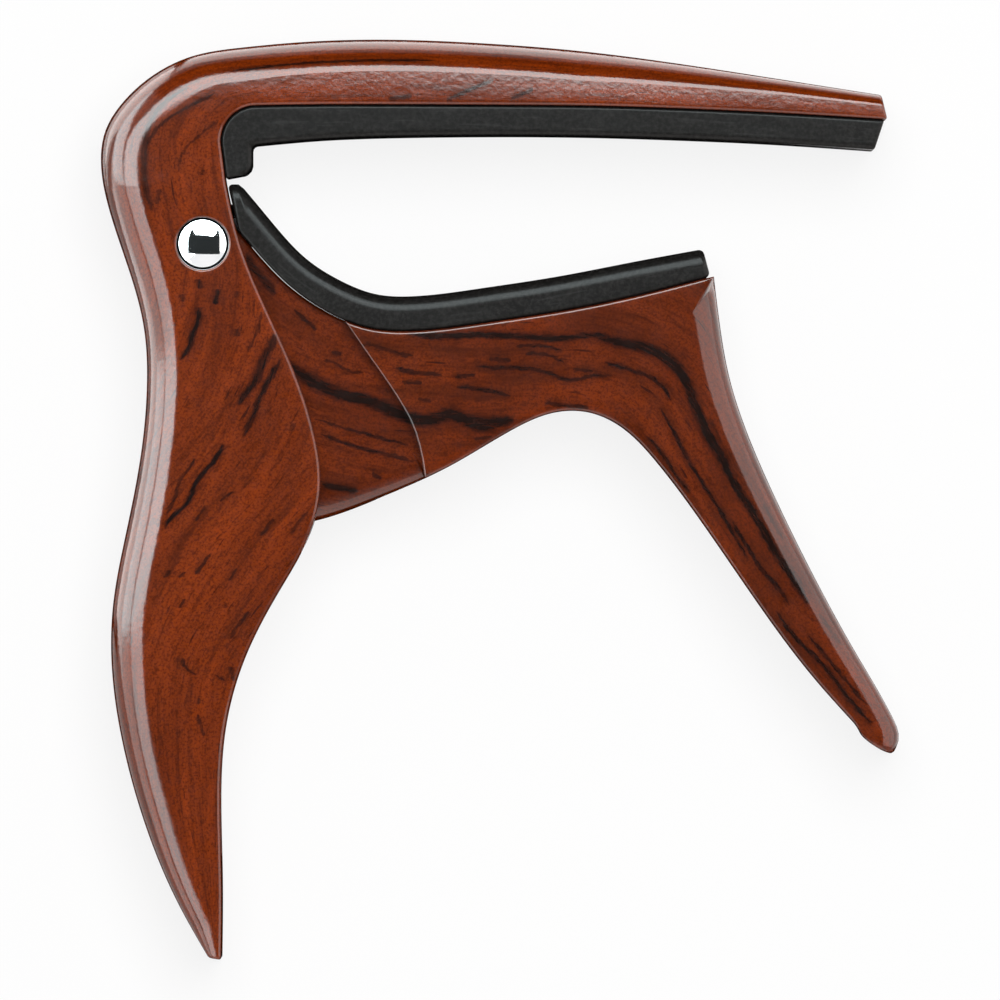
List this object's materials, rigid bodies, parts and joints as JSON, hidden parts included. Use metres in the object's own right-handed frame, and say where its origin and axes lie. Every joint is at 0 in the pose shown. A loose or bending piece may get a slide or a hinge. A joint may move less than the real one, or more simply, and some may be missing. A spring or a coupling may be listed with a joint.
{
  "type": "guitar capo",
  "caption": "Spring-loaded trigger capo: a wood-finished cast arm and lever with black rubber pads, joined by a chrome hinge pin.",
  "frame": {"origin": "under the middle of the object as it lies on its side, on the surface it rests on", "axes": "+Z across the width of the capo, away from the surface; +Y from the handles up to the upper bar; +X along the upper bar towards its free tip"},
  "size_m": [0.0799, 0.0921, 0.016],
  "materials": {
    "wood_finish": "printed rosewood grain under satin lacquer",
    "black_rubber": "matte silicone rubber",
    "chrome": "mirror",
    "nylon": "moulded",
    "spring_steel": "drawn wire"
  },
  "bodies": {
    "arm": {"main_arm": "wood_finish", "string_pad": "black_rubber", "pivot_pin": "chrome", "pivot_cap": "chrome", "spring_sleeve": "nylon", "torsion_spring": "spring_steel", "thrust_washer_rear": "nylon", "thrust_washer_front": "nylon"},
    "lever": {"trigger_lever": "wood_finish", "neck_pad": "black_rubber"}
  },
  "joints": [
    {"name": "lever_pivot", "type": "hinge", "parent": "arm", "child": "lever", "pos_m": [-0.0297, 0.02565, 0.008], "axis": [0, 0, -1], "range_deg": [0, 16], "stiffness_Nm_per_rad": 2, "springref_deg": -25.78, "deforming": ["torsion_spring"]}
  ]
}
